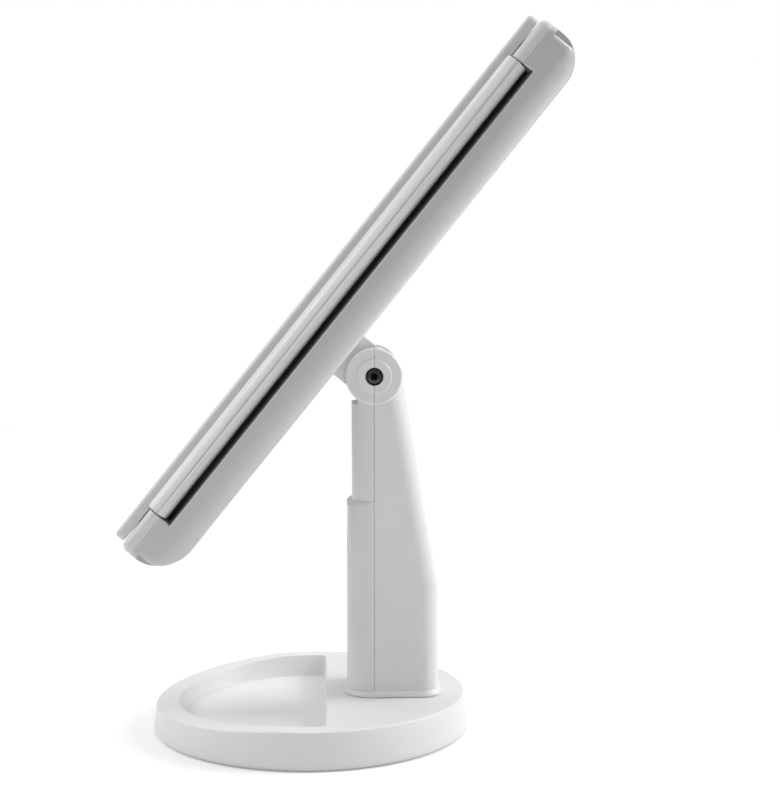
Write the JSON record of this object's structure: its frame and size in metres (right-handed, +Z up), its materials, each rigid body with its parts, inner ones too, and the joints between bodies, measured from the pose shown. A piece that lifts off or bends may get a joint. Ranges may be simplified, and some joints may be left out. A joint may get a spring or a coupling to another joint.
{
  "type": "trifold vanity mirror",
  "caption": "Tilting tabletop mirror with two folding wings, lit centre pane, power button, hollow stem and a round base with a half-moon tray.",
  "frame": {"origin": "centre of the round base on the table surface", "axes": "+Z up; -Y towards the user, the side the mirrors face; +X along the tilt pivot, towards the side the picture is taken from"},
  "size_m": [0.175, 0.1643, 0.2785],
  "materials": {
    "white_shell": "satin white moulded shell",
    "grey_plastic": "pale grey moulded",
    "black_plastic": "matt black",
    "dark_rubber": "soft non-slip",
    "wire_rubber": "insulated",
    "foam_tape": "foam mounting tape",
    "plain_steel": "zinc plated",
    "black_steel": "black oxide",
    "cell_steel": "plain wrapped cell",
    "bearing_brass": "turned",
    "silvered_glass": "silvered on the back",
    "frosted_window": "frosted light window",
    "board": "coated circuit board",
    "led": "phosphor"
  },
  "bodies": {
    "stand": {"base_tray": "white_shell", "base_plate": "grey_plastic", "base_weight": "plain_steel", "base_pad": "dark_rubber", "base_screws": "plain_steel", "stem_screws": "plain_steel", "stem_collar": "white_shell", "stem_rear_shell": "white_shell", "stem_front_shell": "white_shell", "battery_holder": "black_plastic", "battery_cells": "cell_steel", "battery_contacts": "plain_steel", "contact_springs": "plain_steel", "shell_screws": "plain_steel", "stem_wires": "wire_rubber", "pivot_screw": "black_steel", "pivot_nut": "plain_steel", "pivot_washers": "plain_steel"},
    "door": {"battery_door": "white_shell"},
    "head": {"pivot_sleeve": "bearing_brass", "neck_bracket": "white_shell", "neck_plate": "white_shell", "neck_screws": "plain_steel", "rear_housing": "white_shell", "gap_strips": "black_plastic", "front_frame": "white_shell", "mirror_tape": "foam_tape", "centre_mirror": "silvered_glass", "light_windows": "frosted_window", "led_boards": "board", "led_chips": "led", "driver_board": "board", "push_switch": "black_plastic", "head_screws": "plain_steel", "head_wires": "wire_rubber", "hinge_pins": "plain_steel"},
    "button": {"power_button": "grey_plastic"},
    "right_wing": {"right_wing_shell": "white_shell", "right_roll_cover": "white_shell", "right_wing_tape": "foam_tape", "right_wing_mirror": "silvered_glass", "right_hinge_bushes": "bearing_brass"},
    "left_wing": {"left_wing_shell": "white_shell", "left_roll_cover": "white_shell", "left_wing_tape": "foam_tape", "left_upper_mirror": "silvered_glass", "left_lower_mirror": "silvered_glass", "left_hinge_bushes": "bearing_brass"}
  },
  "joints": [
    {"name": "head_tilt", "type": "hinge", "parent": "stand", "child": "head", "pos_m": [0, 0.0258, 0.1463], "axis": [-1, 0, 0], "range_deg": [-40, 63]},
    {"name": "right_wing_hinge", "type": "hinge", "parent": "head", "child": "right_wing", "pos_m": [0.0834, 0.01007, 0.18211], "axis": [0, 0.6266, 0.7793], "range_deg": [0, 180]},
    {"name": "left_wing_hinge", "type": "hinge", "parent": "head", "child": "left_wing", "pos_m": [-0.0834, 0.01007, 0.18211], "axis": [0, -0.6266, -0.7793], "range_deg": [0, 180]},
    {"name": "button_press", "type": "slide", "parent": "head", "child": "button", "axis": [0, 0.7793, -0.6266], "range_m": [0, 0.0006], "stiffness_N_per_m": 1000},
    {"name": "door_slide", "type": "slide", "parent": "stand", "child": "door", "axis": [0, -1, 0], "range_m": [0, 0.03]}
  ]
}
